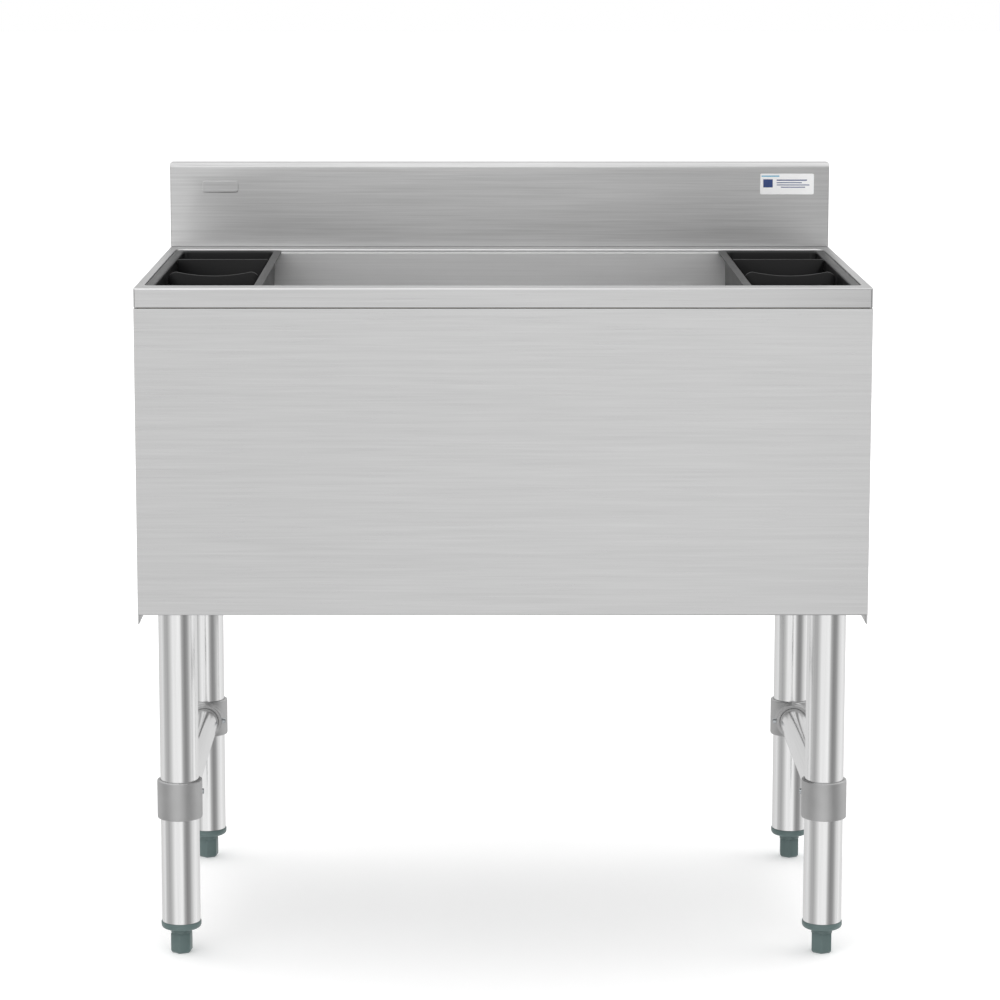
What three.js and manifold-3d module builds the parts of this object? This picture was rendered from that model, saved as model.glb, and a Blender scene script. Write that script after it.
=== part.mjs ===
// An underbar ice bin: an insulated stainless cabinet on four tube legs, with a raised backsplash, an open ice well,
// two lift-out bottle wells with dividers, a floor drain and adjustable feet.
// Millimetres, +Z up, the front faces -Y, and the origin is on the floor under the middle of the cabinet.
import * as THREE from "three";
import { mergeVertices } from "three/addons/utils/BufferGeometryUtils.js";
import Module from "manifold-3d";

const wasm = await Module();
wasm.setup();

// Cabinet
const WIDTH = 762;
const DEPTH = 483;
const RIM_TOP = 727;
const RIM_SKIRT = 20;
const PANEL_BOTTOM = 384;
const SIDE_DROP = 10; // the side panels reach lower than the front and back
const SHEET = 1.2;
const GAP = 0.3; // between pieces that touch
const RETURN = 12; // folded edge of a panel
const REAR_RETURN = 22; // the side panels' fold over the back panel

// Backsplash
const SPLASH_TOP = 824;
const SPLASH_THICKNESS = 26;
const SPLASH_CHAMFER = 4.5;

// Opening in the rim, and the liner that hangs in it
const SIDE_RIM = 8.6;
const FRONT_RIM = 28;
const REAR_DECK = 30;
const OPENING_RADIUS = 10;
const LIP = 2;
const LEDGE = 8; // shelves at the liner's ends, where the bottle wells rest
const SIDE_LEDGE = 5.5; // and along its sides
const LEDGE_TOP = RIM_TOP - 3.6;
const LINER_FLANGE = 12;
const LINER_FLOOR = 447;
const LINER_RADIUS = 18;
const BOTTOM_Z = 424; // underside of the bottom panel

// Drain
const DRAIN_BORE = 19;
const DRAIN_BODY = 24;
const DRAIN_FLANGE = 38;
const DRAIN_FLANGE_T = 1.6;
const DRAIN_END = 402;
const TAILPIECE_R = 18.6;
const TAILPIECE_END = 345;
const TAILPIECE_TOP = 412;
const STRAINER_R = 33;
const STRAINER_HOLE = 2.5;

// Legs and their fittings
const LEG_R = 20.65;
const LEG_WALL = 1.2;
const LEG_X = 345.4;
const FRONT_LEG_IN = 69; // leg centre behind the front face
const REAR_LEG_IN = 27; // leg centre ahead of the rear face
const LEG_BOTTOM = 35.5;
const SOCKET_R = 23.4;
const SOCKET_BOTTOM = 388;
const SOCKET_CAP = 3;
const CHANNEL_HALF = 30.5;
const CHANNEL_T = 1.4;
const CHANNEL_LIP = 14;
const CLAMP_R = 24.15;
const CLAMP_BOTTOM = 150;
const CLAMP_HEIGHT = 41.5;
const BOSS_R = 20;
const BOSS_REACH = 32.5;
const STRETCHER_R = 15.875;
const SCREW_R = 3;

// Feet
const FERRULE_R = 21.55;
const FERRULE_BOTTOM = 27.5;
const PLUG_TOP = 68;
const STEM_R = 6;
const FOOT_COLLAR_R = 11.35;
const HEX_FLATS = 21.2;
const HEX_TOP = 22.4;
const FOOT_TURNS = { front_left: 52, front_right: 54, rear_left: 52, rear_right: 58 }; // degrees

// Bottle wells
const WELL_FLANGE_WIDTH = 121.5;
const WELL_FLANGE_LENGTH = 397;
const WELL_FLANGE_T = 2;
const WELL_RADIUS = 12;
const POCKET_WIDTH = 103;
const POCKET_LENGTH = 375;
const WELL_WALL = 3;
const WELL_DEPTH = 205;
const WELL_DRAFT = 3; // each wall leans in by this much at the floor
const DIVIDER_T = 3;
const STRAIGHT_PLAY = 0.6; // between a divider and the wall of its well
const SADDLE_PLAY = 2;
const DIVIDER_HEIGHT = 190;
const REAR_DIVIDER_IN = 106; // divider's distance from the rear end of the well
const FRONT_DIVIDER_IN = 245;
const SADDLE_DIP = 4.3;
const SADDLE_SHOULDER = 7;
const RIB = 2;

// Label
const LABEL = { x: 332.2, z: 799.5, width: 62, height: 24, thickness: 0.3 };

const LEFT = -WIDTH / 2;
const RIGHT = WIDTH / 2;
const FRONT = -DEPTH / 2;
const REAR = DEPTH / 2;
const SPLASH_FACE = REAR - SPLASH_THICKNESS;
const OPENING_X = RIGHT - SIDE_RIM;
const OPENING_FRONT = FRONT + FRONT_RIM;
const OPENING_REAR = SPLASH_FACE - REAR_DECK;
const OPENING_MID = (OPENING_FRONT + OPENING_REAR) / 2;
const OPENING_LENGTH = OPENING_REAR - OPENING_FRONT;
const LINER_X = OPENING_X - SIDE_LEDGE;
const PANEL_TOP = RIM_TOP - RIM_SKIRT - 0.4;
const FRONT_LEG_Y = FRONT + FRONT_LEG_IN;
const REAR_LEG_Y = REAR - REAR_LEG_IN;
const LEG_TOP = BOTTOM_Z - GAP - CHANNEL_T - GAP - SOCKET_CAP - GAP;
const CLAMP_MID = CLAMP_BOTTOM + CLAMP_HEIGHT / 2;
const WELL_X = OPENING_X - GAP - WELL_FLANGE_WIDTH / 2;
const WELL_TOP = LEDGE_TOP + GAP + WELL_FLANGE_T;
const WELL_FLOOR = WELL_TOP - WELL_DEPTH;

const finish = (color, roughness, metalness) => new THREE.MeshStandardMaterial({ color, roughness, metalness });
const brushedSteel = finish(0xc6c7c8, 0.35, 1);
const dullSteel = finish(0xa9abad, 0.5, 1);
const polishedSteel = finish(0xdcdddf, 0.15, 1);
const castAluminium = finish(0x9b9c9d, 0.55, 1);
const zinc = finish(0x8d9092, 0.4, 1);
const blackPlastic = finish(0x1b1c1d, 0.45, 0);
const greyPlastic = finish(0x6b7a79, 0.5, 0);
const rubber = finish(0x222222, 0.8, 0);
const foam = finish(0xe6dcb4, 0.9, 0);
const paper = finish(0xf4f6f8, 0.4, 0);

// A closed three.js geometry as a solid that can be joined and cut
function solid(geometry) {
  const bare = new THREE.BufferGeometry();
  bare.setAttribute("position", geometry.getAttribute("position"));
  bare.setIndex(geometry.getIndex());
  const merged = mergeVertices(bare, 1e-4);
  return new wasm.Manifold(
    new wasm.Mesh({
      numProp: 3,
      vertProperties: Float32Array.from(merged.attributes.position.array),
      triVerts: Uint32Array.from(merged.index.array),
    }),
  );
}

function geometryOf(manifold) {
  const { vertProperties, triVerts } = manifold.getMesh();
  const geometry = new THREE.BufferGeometry();
  geometry.setAttribute("position", new THREE.BufferAttribute(Float32Array.from(vertProperties), 3));
  geometry.setIndex(new THREE.BufferAttribute(Uint32Array.from(triVerts), 1));
  const faceted = geometry.toNonIndexed();
  faceted.computeVertexNormals();
  return faceted;
}

const join = (first, ...rest) => rest.reduce((whole, piece) => whole.add(piece), first);
const cut = (first, ...rest) => rest.reduce((whole, piece) => whole.subtract(piece), first);

// A box between two corners
function slab([x0, x1], [y0, y1], [z0, z1]) {
  const geometry = new THREE.BoxGeometry(x1 - x0, y1 - y0, z1 - z0);
  return solid(geometry.translate((x0 + x1) / 2, (y0 + y1) / 2, (z0 + z1) / 2));
}

// The same range on the left or the right side of the cabinet
const onSide = (side, near, far) => (side < 0 ? [-far, -near] : [near, far]);

// A round bar along Z, from z0 to z1
function rod(radius, z0, z1, sides = 32) {
  const geometry = new THREE.CylinderGeometry(radius, radius, z1 - z0, sides);
  return solid(geometry.rotateX(Math.PI / 2).translate(0, 0, (z0 + z1) / 2));
}

// A round bar along X or Y through the origin, from a to b
function crossRod(axis, radius, a, b, sides = 32) {
  const geometry = new THREE.CylinderGeometry(radius, radius, Math.abs(b - a), sides);
  geometry.translate(0, (a + b) / 2, 0);
  return solid(axis === "x" ? geometry.rotateZ(-Math.PI / 2) : geometry);
}

const pipe = (outer, inner, z0, z1, sides = 32) => cut(rod(outer, z0, z1, sides), rod(inner, z0 - 1, z1 + 1, sides));

// A turned solid from [radius, z] points that run round the section with the material on their left
function turned(profile, sides = 32) {
  const points = profile.map(([radius, z]) => new THREE.Vector2(radius, z));
  points.push(points[0].clone());
  return solid(new THREE.LatheGeometry(points, sides).rotateX(Math.PI / 2));
}

// A rectangle with round corners in the XY plane
function roundedOutline(width, length, radius) {
  const [x, y] = [width / 2 - radius, length / 2 - radius];
  const shape = new THREE.Shape();
  shape.absarc(x, y, radius, 0, Math.PI / 2);
  shape.absarc(-x, y, radius, Math.PI / 2, Math.PI);
  shape.absarc(-x, -y, radius, Math.PI, 1.5 * Math.PI);
  shape.absarc(x, -y, radius, 1.5 * Math.PI, 2 * Math.PI);
  return shape;
}

// A round-cornered block from z0 to z1, whose foot may be narrower than its top by `lean` on every side
function roundedBlock(width, length, radius, z0, z1, lean = 0) {
  const geometry = new THREE.ExtrudeGeometry(roundedOutline(width, length, radius), {
    depth: z1 - z0,
    bevelEnabled: false,
    curveSegments: 6,
  });
  const position = geometry.getAttribute("position");
  for (let i = 0; i < position.count; i++) {
    if (position.getZ(i) > 0.5 * (z1 - z0)) continue;
    position.setX(i, position.getX(i) * (1 - (2 * lean) / width));
    position.setY(i, position.getY(i) * (1 - (2 * lean) / length));
  }
  return solid(geometry.translate(0, 0, z0));
}

const outline = (points) => new THREE.Shape(points.map(([x, z]) => new THREE.Vector2(x, z)));

// A solid whose outline lies in the XZ plane, `thickness` deep along Y about y = 0
function plate(shape, thickness) {
  const geometry = new THREE.ExtrudeGeometry(shape, { depth: thickness, bevelEnabled: false, curveSegments: 8 });
  return solid(geometry.rotateX(Math.PI / 2).translate(0, thickness / 2, 0));
}

const bin = new THREE.Group();

function add(name, manifold, material, parent = bin) {
  const mesh = new THREE.Mesh(geometryOf(manifold), material);
  mesh.name = name;
  parent.add(mesh);
  return mesh;
}

// Rim, deck and skirt in one folded sheet, with a turned-down lip round the opening
function topRim() {
  const outer = slab([LEFT, RIGHT], [FRONT, REAR], [RIM_TOP - RIM_SKIRT, RIM_TOP]);
  const hollow = slab(
    [LEFT + SHEET, RIGHT - SHEET],
    [FRONT + SHEET, REAR - SHEET],
    [RIM_TOP - RIM_SKIRT - 1, RIM_TOP - SHEET],
  );
  const ring = (grow, z0, z1) =>
    roundedBlock(2 * (OPENING_X + grow), OPENING_LENGTH + 2 * grow, OPENING_RADIUS + grow, z0, z1).translate([
      0,
      OPENING_MID,
      0,
    ]);
  const lip = ring(SHEET, RIM_TOP - SHEET - LIP + 0.9, RIM_TOP - SHEET / 2);
  const opening = ring(0, RIM_TOP - RIM_SKIRT, RIM_TOP + 1);
  add("top_rim", cut(join(cut(outer, hollow), lip), opening), brushedSteel);
}

// A folded box section that is open underneath, standing on the rear of the deck
function backsplash() {
  const section = (inset) => {
    const face = SPLASH_FACE + inset;
    const top = SPLASH_TOP - inset;
    const bend = SPLASH_CHAMFER - 0.4 * inset;
    const foot = RIM_TOP + GAP - (inset ? 1 : 0);
    return outline([
      [face, foot],
      [REAR - inset, foot],
      [REAR - inset, top],
      [face + bend, top],
      [face, top - bend],
    ]);
  };
  const along = (inset, half) => plate(section(inset), 2 * half).rotate([0, 0, 90]);
  add("backsplash", cut(along(0, RIGHT), along(SHEET, RIGHT - SHEET)), brushedSteel);
}

function frontPanel() {
  const inside = RIGHT - SHEET - GAP;
  const fold = [FRONT + SHEET - 0.2, FRONT + SHEET + RETURN];
  const sheet = slab([LEFT, RIGHT], [FRONT, FRONT + SHEET], [PANEL_BOTTOM, PANEL_TOP]);
  const hem = slab([-inside, inside], fold, [PANEL_BOTTOM, PANEL_BOTTOM + SHEET]);
  const returns = [-1, 1].map((side) => slab(onSide(side, inside - SHEET, inside), fold, [PANEL_BOTTOM, PANEL_TOP]));
  add("front_panel", join(sheet, hem, ...returns), brushedSteel);
}

function sidePanel(name, side) {
  const height = [PANEL_BOTTOM - SIDE_DROP, PANEL_TOP];
  const sheet = slab(onSide(side, RIGHT - SHEET, RIGHT), [FRONT + SHEET + GAP, REAR], height);
  const fold = slab(onSide(side, RIGHT - REAR_RETURN, RIGHT - SHEET / 2), [REAR - SHEET, REAR], height);
  add(name, join(sheet, fold), brushedSteel);
}

function backPanel() {
  const half = RIGHT - SHEET - GAP;
  const face = REAR - SHEET - GAP;
  add("back_panel", slab([-half, half], [face - SHEET, face], [PANEL_BOTTOM, PANEL_TOP]), dullSteel);
}

const drainHole = (z0, z1) => rod(DRAIN_BODY + GAP, z0, z1).translate([0, OPENING_MID, 0]);

function bottomPanel() {
  const half = RIGHT - 2 * SHEET - 2 * GAP;
  const front = FRONT + SHEET + RETURN + GAP;
  const rear = REAR - 2 * SHEET - 2 * GAP;
  const sheet = slab([-half, half], [front, rear], [BOTTOM_Z, BOTTOM_Z + SHEET]);
  const fold = slab([-half, half], [front, front + SHEET], [BOTTOM_Z - RETURN, BOTTOM_Z + SHEET / 2]);
  add("bottom_panel", cut(join(sheet, fold), drainHole(BOTTOM_Z - 1, BOTTOM_Z + 2)), dullSteel);
}

// The ice well: a pan with round corners, hung from the rim by its flange, with a shelf under each end of each well
function iceLiner() {
  const block = (grow, z0, z1) =>
    roundedBlock(2 * (LINER_X + grow), OPENING_LENGTH + 2 * grow, LINER_RADIUS + grow, z0, z1);
  const walls = block(SHEET, LINER_FLOOR - SHEET, LEDGE_TOP);
  const flange = block(LINER_FLANGE, LEDGE_TOP - SHEET, LEDGE_TOP);
  const pocket = block(0, LINER_FLOOR, LEDGE_TOP + 1);
  const shelves = [-1, 1].flatMap((side) =>
    [-1, 1].map((end) =>
      slab(
        onSide(side, WELL_X - WELL_FLANGE_WIDTH / 2 + 1, LINER_X + SHEET / 2),
        onSide(end, OPENING_LENGTH / 2 - LEDGE, OPENING_LENGTH / 2 + SHEET / 2),
        [LEDGE_TOP - SHEET, LEDGE_TOP],
      ),
    ),
  );
  const pan = join(cut(join(walls, flange), pocket), ...shelves).translate([0, OPENING_MID, 0]);
  add("ice_liner", cut(pan, drainHole(LINER_FLOOR - 2, LINER_FLOOR + 1)), brushedSteel);
}

// Rigid foam that fills the space between the liner and the cabinet
function foamTub() {
  const half = RIGHT - 2 * SHEET - 3 * GAP;
  const block = slab(
    [-half, half],
    [FRONT + SHEET + RETURN + 2 * GAP, REAR - 2 * SHEET - 2 * GAP],
    [BOTTOM_Z + SHEET + GAP, LEDGE_TOP - SHEET - GAP],
  );
  const grow = SHEET + GAP;
  const pocket = roundedBlock(
    2 * (LINER_X + grow),
    OPENING_LENGTH + 2 * grow,
    LINER_RADIUS + grow,
    LINER_FLOOR - grow,
    RIM_TOP,
  ).translate([0, OPENING_MID, 0]);
  add("foam_tub", cut(block, pocket, drainHole(BOTTOM_Z, LINER_FLOOR)), foam);
}

function drain() {
  const group = new THREE.Group();
  group.position.set(0, OPENING_MID, 0);
  bin.add(group);
  const seat = LINER_FLOOR + GAP;
  const top = seat + DRAIN_FLANGE_T;
  const flange = turned([
    [DRAIN_BORE, DRAIN_END],
    [DRAIN_BODY, DRAIN_END],
    [DRAIN_BODY, seat],
    [DRAIN_FLANGE, seat],
    [DRAIN_FLANGE - 1, top],
    [DRAIN_BORE, top],
  ]);
  add("drain_flange", flange, polishedSteel, group);
  const underside = BOTTOM_Z - GAP;
  add("drain_gasket", pipe(34, DRAIN_BODY + GAP, underside - 2.2, underside), rubber, group);
  const nutTop = underside - 2.2 - GAP;
  const nut = cut(rod(35, nutTop - 10, nutTop, 6), rod(DRAIN_BODY + GAP, nutTop - 11, nutTop + 1));
  add("drain_nut", nut, zinc, group);
  add("drain_tailpiece", pipe(TAILPIECE_R, TAILPIECE_R - SHEET, TAILPIECE_END, TAILPIECE_TOP), polishedSteel, group);
  const disc = rod(STRAINER_R, top + GAP, top + GAP + 1.5);
  const lip = pipe(DRAIN_BORE - 0.5, DRAIN_BORE - 1.7, top - 8, top + GAP + 0.5);
  const rings = [
    [0, 1],
    [8, 6],
    [15, 10],
  ];
  const holes = rings.flatMap(([radius, count]) =>
    Array.from({ length: count }, (_, i) => {
      const turn = (2 * Math.PI * i) / count;
      const hole = rod(STRAINER_HOLE, top - 1, top + 3, 12);
      return hole.translate([radius * Math.cos(turn), radius * Math.sin(turn), 0]);
    }),
  );
  add("drain_strainer", cut(join(disc, lip), ...holes), polishedSteel, group);
}

function underChannel(name, side) {
  const top = BOTTOM_Z - GAP;
  const length = [FRONT + SHEET + RETURN + 2 * SHEET + 2 * GAP, REAR - 3 * SHEET - 3 * GAP];
  const web = slab(onSide(side, LEG_X - CHANNEL_HALF, LEG_X + CHANNEL_HALF), length, [top - CHANNEL_T, top]);
  const lips = [LEG_X - CHANNEL_HALF, LEG_X + CHANNEL_HALF - CHANNEL_T].map((x) =>
    slab(onSide(side, x, x + CHANNEL_T), length, [top - CHANNEL_LIP, top - CHANNEL_T / 2]),
  );
  add(name, join(web, ...lips), dullSteel);
}

// One leg with its socket, clamp and foot; `inward` points from this leg to the other leg of its side
function leg(corner, side, y, inward) {
  const group = new THREE.Group();
  group.position.set(side * LEG_X, y, 0);
  bin.add(group);

  const socketTop = LEG_TOP + GAP + SOCKET_CAP;
  const screwZ = SOCKET_BOTTOM + 13;
  const cup = cut(
    rod(SOCKET_R, SOCKET_BOTTOM, socketTop),
    rod(LEG_R + GAP, SOCKET_BOTTOM - 1, LEG_TOP + GAP),
    crossRod("x", SCREW_R + GAP, 0, -side * 30, 16).translate([0, 0, screwZ]),
  );
  add(`leg_socket_${corner}`, cup, dullSteel, group);
  const socketScrew = join(
    crossRod("x", SCREW_R, -side * (LEG_R + GAP), -side * 26, 16),
    crossRod("x", 5.5, -side * 24, -side * 28, 6),
  ).translate([0, 0, screwZ]);
  add(`socket_screw_${corner}`, socketScrew, zinc, group);

  add(`leg_${corner}`, pipe(LEG_R, LEG_R - LEG_WALL, LEG_BOTTOM, LEG_TOP, 40), polishedSteel, group);

  const screwY = inward * 27.5;
  const clamp = cut(
    join(
      rod(CLAMP_R, CLAMP_BOTTOM, CLAMP_BOTTOM + CLAMP_HEIGHT, 40),
      crossRod("y", BOSS_R, 0, inward * BOSS_REACH, 40).translate([0, 0, CLAMP_MID]),
    ),
    rod(LEG_R + GAP, CLAMP_BOTTOM - 1, CLAMP_BOTTOM + CLAMP_HEIGHT + 1, 40),
    crossRod("y", STRETCHER_R + GAP, inward * LEG_R, inward * 40).translate([0, 0, CLAMP_MID]),
    crossRod("x", SCREW_R + GAP, side * STRETCHER_R, side * 30, 16).translate([0, screwY, CLAMP_MID]),
  );
  add(`clamp_${corner}`, clamp, castAluminium, group);
  const clampScrew = crossRod("x", SCREW_R, side * (STRETCHER_R + GAP), side * (BOSS_R + 1.5), 16);
  add(`clamp_screw_${corner}`, clampScrew.translate([0, screwY, CLAMP_MID]), zinc, group);

  const plugR = LEG_R - LEG_WALL - GAP;
  const ferrule = turned([
    [STEM_R + GAP, FERRULE_BOTTOM],
    [FERRULE_R - 3, FERRULE_BOTTOM],
    [FERRULE_R - 0.9, FERRULE_BOTTOM + 0.9],
    [FERRULE_R, FERRULE_BOTTOM + 3],
    [FERRULE_R, LEG_BOTTOM - GAP],
    [plugR, LEG_BOTTOM - GAP],
    [plugR, PLUG_TOP],
    [STEM_R + GAP, PLUG_TOP],
  ]);
  add(`ferrule_${corner}`, ferrule, greyPlastic, group);

  const hexR = HEX_FLATS / Math.sqrt(3);
  const hex = turned(
    [
      [0, 0],
      [hexR - 1.8, 0],
      [hexR, 2.2],
      [hexR, HEX_TOP - 0.8],
      [hexR - 0.8, HEX_TOP],
      [0, HEX_TOP],
    ],
    6,
  );
  const collar = rod(FOOT_COLLAR_R, HEX_TOP - 0.5, FERRULE_BOTTOM - GAP);
  const stem = rod(STEM_R, HEX_TOP - 1, PLUG_TOP - 4);
  add(`foot_${corner}`, join(hex, collar, stem), greyPlastic, group).rotation.z = THREE.MathUtils.degToRad(
    FOOT_TURNS[corner],
  );
}

// The tube between the front and rear legs of one side
function stretcher(name, side) {
  const reach = LEG_R + 2 * GAP;
  const ends = [FRONT_LEG_Y + reach, REAR_LEG_Y - reach];
  const tube = cut(crossRod("y", STRETCHER_R, ...ends), crossRod("y", STRETCHER_R - SHEET, ends[0] - 1, ends[1] + 1));
  add(name, tube.translate([side * LEG_X, 0, CLAMP_MID]), polishedSteel);
}

// How far a bottle well's long walls have leaned in at height z
const lean = (z) => (WELL_DRAFT * (WELL_TOP - z)) / WELL_DEPTH;

// Half the width of a divider at height z
const dividerHalf = (z, play) => POCKET_WIDTH / 2 - lean(z) - play;

function straightDivider() {
  const [foot, top] = [WELL_TOP - DIVIDER_HEIGHT, WELL_TOP - 0.2];
  const shape = outline([
    [-dividerHalf(foot, STRAIGHT_PLAY), foot],
    [dividerHalf(foot, STRAIGHT_PLAY), foot],
    [dividerHalf(top, STRAIGHT_PLAY), top],
    [-dividerHalf(top, STRAIGHT_PLAY), top],
  ]);
  return plate(shape, DIVIDER_T);
}

// The front divider's top edge dips in the middle, and its shoulders are rounded off
function saddleDivider() {
  const [foot, top] = [WELL_TOP - DIVIDER_HEIGHT, WELL_TOP - 0.2];
  const shoulder = top - SADDLE_SHOULDER;
  const half = dividerHalf(shoulder, SADDLE_PLAY);
  const footHalf = dividerHalf(foot, SADDLE_PLAY);
  const shape = new THREE.Shape();
  shape.moveTo(-footHalf, foot);
  shape.lineTo(footHalf, foot);
  shape.lineTo(half, shoulder);
  shape.quadraticCurveTo(half, top, half - 11, top);
  shape.quadraticCurveTo(0, top - 2 * SADDLE_DIP, -(half - 11), top);
  shape.quadraticCurveTo(-half, top, -half, shoulder);
  return plate(shape, DIVIDER_T);
}

function bottleWell(name, side) {
  const group = new THREE.Group();
  group.position.set(side * WELL_X, OPENING_MID, 0);
  bin.add(group);
  const dividerY = [REAR_DIVIDER_IN, FRONT_DIVIDER_IN].map((inset) => WELL_FLANGE_LENGTH / 2 - inset);

  const flange = roundedBlock(
    WELL_FLANGE_WIDTH,
    WELL_FLANGE_LENGTH,
    WELL_RADIUS,
    WELL_TOP - WELL_FLANGE_T,
    WELL_TOP,
  );
  const body = roundedBlock(
    POCKET_WIDTH + 2 * WELL_WALL,
    POCKET_LENGTH + 2 * WELL_WALL,
    WELL_RADIUS,
    WELL_FLOOR,
    WELL_TOP - 0.5,
    WELL_DRAFT,
  );
  const pocket = roundedBlock(
    POCKET_WIDTH,
    POCKET_LENGTH,
    WELL_RADIUS - WELL_WALL,
    WELL_FLOOR + WELL_WALL,
    WELL_TOP + 0.01,
    WELL_DRAFT,
  );
  const halfSlot = DIVIDER_T / 2 + GAP;
  const ribHalf = POCKET_WIDTH / 2 - WELL_DRAFT - 1.5 * RIB;
  const ribs = dividerY.flatMap((y) =>
    [-1, 1].flatMap((end) =>
      [halfSlot, -halfSlot - RIB].map((edge) =>
        slab(
          onSide(end, ribHalf, POCKET_WIDTH / 2 + 0.8 * WELL_WALL - lean(WELL_FLOOR)),
          [y + edge, y + edge + RIB],
          [WELL_FLOOR + 0.5 * WELL_WALL, WELL_TOP - 110],
        ),
      ),
    ),
  );
  add(name, join(cut(join(flange, body), pocket), ...ribs), blackPlastic, group);

  const hand = name.replace("bottle_well_", "");
  add(`straight_divider_${hand}`, straightDivider().translate([0, dividerY[0], 0]), blackPlastic, group);
  add(`saddle_divider_${hand}`, saddleDivider().translate([0, dividerY[1], 0]), blackPlastic, group);
}

function label() {
  const { x, z, width, height, thickness } = LABEL;
  const back = SPLASH_FACE - GAP;
  const sticker = slab([x - width / 2, x + width / 2], [back - thickness, back], [z - height / 2, z + height / 2]);
  add("label", sticker, paper);
}

topRim();
backsplash();
frontPanel();
sidePanel("side_panel_left", -1);
sidePanel("side_panel_right", 1);
backPanel();
bottomPanel();
iceLiner();
foamTub();
drain();
for (const [hand, side] of [
  ["left", -1],
  ["right", 1],
]) {
  underChannel(`under_channel_${hand}`, side);
  leg(`front_${hand}`, side, FRONT_LEG_Y, 1);
  leg(`rear_${hand}`, side, REAR_LEG_Y, -1);
  stretcher(`stretcher_${hand}`, side);
  bottleWell(`bottle_well_${hand}`, side);
}
label();

export default bin;
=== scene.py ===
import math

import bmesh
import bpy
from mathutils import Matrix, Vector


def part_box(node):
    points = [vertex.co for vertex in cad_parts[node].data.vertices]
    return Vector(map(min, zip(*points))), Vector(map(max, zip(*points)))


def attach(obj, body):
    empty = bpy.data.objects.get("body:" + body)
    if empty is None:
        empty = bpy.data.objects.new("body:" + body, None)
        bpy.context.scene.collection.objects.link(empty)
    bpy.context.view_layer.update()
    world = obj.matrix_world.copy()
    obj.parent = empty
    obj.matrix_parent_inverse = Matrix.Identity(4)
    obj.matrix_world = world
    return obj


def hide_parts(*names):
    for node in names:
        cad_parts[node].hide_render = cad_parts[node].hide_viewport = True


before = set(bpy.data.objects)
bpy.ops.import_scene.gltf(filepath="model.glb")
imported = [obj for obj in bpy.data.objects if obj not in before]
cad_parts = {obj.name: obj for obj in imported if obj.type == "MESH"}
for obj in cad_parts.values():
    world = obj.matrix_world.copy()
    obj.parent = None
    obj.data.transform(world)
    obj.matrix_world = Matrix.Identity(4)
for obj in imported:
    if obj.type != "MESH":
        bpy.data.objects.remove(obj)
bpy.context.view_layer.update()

# An underbar ice bin in folded stainless sheet: two moulded bottle wells, tube legs and cast clamps.
# The bin's sizes are in millimetres, and MM turns them to Blender's metres. The studio's are in metres.
# The front faces -Y.

MM = 0.001
NEAR = 0.02  # two places closer than this are the same place

SHEET = 1.2  # thickness of the stainless sheet, and of the tubes' walls
SIDE_RIM = 8.6  # rim beside the opening
FRONT_RIM = 28
REAR_DECK = 30
OPENING_RADIUS = 10
LIP = 3.4  # rim turned down round the opening, to just above the liner's flange
FLANGE = 12  # liner's flange under the rim
SEAM = 0.7  # how much the seam under the skirt is opened, so that it shows as a dark line
FOLD = 2.2  # outside radius of the folds in the rim and the side panels
CORNERS = ("front_left", "front_right", "rear_left", "rear_right")
HANDS = {"left": -1, "right": 1}  # the two sides, and which way each lies along x
LEG_BORE = 20.95  # radius of a hole that takes a leg
PROUD = 2.2  # how much further the inner set screws stand out than the outer ones
# Degrees that each foot has been screwed round
FOOT_TURNS = {"front_left": 52, "front_right": 54, "rear_left": 52, "rear_right": 58}


def span(node):
    """The (from, to) reach of a CAD node along x, y and z."""
    low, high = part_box(node)
    return [(round(a / MM, 3), round(b / MM, 3)) for a, b in zip(low, high)]


def middle(pair):
    return (pair[0] + pair[1]) / 2


def ordered(a, b):
    return (min(a, b), max(a, b))


(_, RIGHT), (FRONT, REAR), (_, RIM_TOP) = span("top_rim")
SPLASH_FACE = span("backsplash")[1][0]
OPENING_X = RIGHT - SIDE_RIM
OPENING_FRONT = FRONT + FRONT_RIM
OPENING_REAR = SPLASH_FACE - REAR_DECK


# ---------------------------------------------------------------- working by hand


def near(a, b):
    return abs(a - b) < NEAR


def at_end(a, pair):
    return near(a, pair[0]) or near(a, pair[1])


def edge_at(a, b, **place):
    """Whether both ends of an edge are at the places given along x, y or z."""
    return all(near(getattr(end, axis), value) for end in (a, b) for axis, value in place.items())


def upright(a, b):
    return near(a.x, b.x) and near(a.y, b.y)


def over(c, x, y, reach=50):
    """Whether a face's middle is within reach of a place, seen from above."""
    return abs(c.x - x) < reach and abs(c.y - y) < reach


def within(p, x, y):
    """Whether a corner is inside two (from, to) reaches, or no more than 1 mm outside them."""
    return x[0] - 1 < p.x < x[1] + 1 and y[0] - 1 < p.y < y[1] + 1


def only(piece):
    """Selects one piece and nothing else."""
    bpy.ops.object.select_all(action="DESELECT")
    piece.select_set(True)
    bpy.context.view_layer.objects.active = piece


def added(name, scale=(1, 1, 1)):
    """Names the primitive that was just added, and puts its place and size into its mesh."""
    piece = bpy.context.object
    piece.name = name
    piece.data.name = name
    piece.scale = scale
    only(piece)
    bpy.ops.object.transform_apply(location=True, rotation=True, scale=True)
    return piece


def block(name, x, y, z):
    bpy.ops.object.select_all(action="DESELECT")
    bpy.ops.mesh.primitive_cube_add(size=1, location=[middle(pair) * MM for pair in (x, y, z)])
    return added(name, [abs(b - a) * MM for a, b in (x, y, z)])


def sheet(name, x, y, z):
    """A level sheet of no thickness."""
    bpy.ops.object.select_all(action="DESELECT")
    bpy.ops.mesh.primitive_plane_add(size=1, location=(middle(x) * MM, middle(y) * MM, z * MM))
    return added(name, (abs(x[1] - x[0]) * MM, abs(y[1] - y[0]) * MM, 1))


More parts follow.
